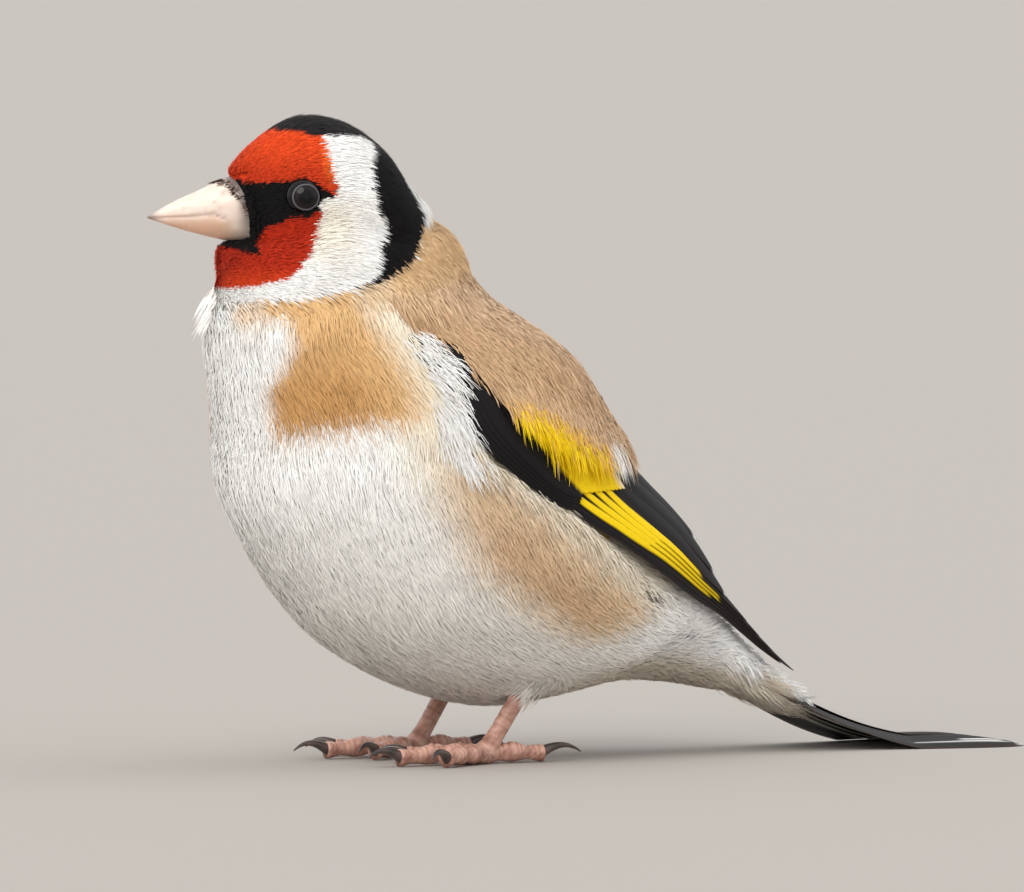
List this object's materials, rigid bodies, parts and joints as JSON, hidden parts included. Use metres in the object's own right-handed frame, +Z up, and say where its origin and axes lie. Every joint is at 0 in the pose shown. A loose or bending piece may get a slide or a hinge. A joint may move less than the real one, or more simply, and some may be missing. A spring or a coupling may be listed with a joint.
{
  "type": "european goldfinch",
  "caption": "Life-size standing finch, still: plump body, conical bill, folded wings with barred feathers, notched tail laid on the floor, head turned to its right.",
  "frame": {"origin": "centre of the bounding box's underside, on the floor that the feet and the tail tip rest on", "axes": "+Z up, the bird faces -Y and its left side is +X"},
  "size_m": [0.0396, 0.1052, 0.0737],
  "materials": {
    "head_plumage": "soft red face feathers; black cap and white cheeks in the visual",
    "body_plumage": "soft off-white feathers; buff breast patches and flanks in the visual",
    "back_plumage": "soft tan-brown feathers",
    "flight_feathers": "smooth black vanes; yellow wing bar and white tips in the visual",
    "bill_horn": "satin horn, stands in for keratin",
    "eyes": "wet dark brown, stands in for the eye",
    "leg_skin": "satin scaled skin",
    "claws": "satin dark horn"
  },
  "bodies": {
    "root": {"bill_lower": "bill_horn", "bill_upper": "bill_horn", "claw_left_hind": "claws", "claw_left_inner": "claws", "claw_left_middle": "claws", "claw_left_outer": "claws", "claw_right_hind": "claws", "claw_right_inner": "claws", "claw_right_middle": "claws", "claw_right_outer": "claws", "eye_left": "eyes", "eye_right": "eyes", "head": "head_plumage", "leg_left": "leg_skin", "leg_right": "leg_skin", "mantle": "back_plumage", "neck": "body_plumage", "rump": "body_plumage", "tail": "flight_feathers", "thigh_left": "body_plumage", "thigh_right": "body_plumage", "torso": "body_plumage", "wing_left": "flight_feathers", "wing_right": "flight_feathers"}
  },
  "joints": []
}
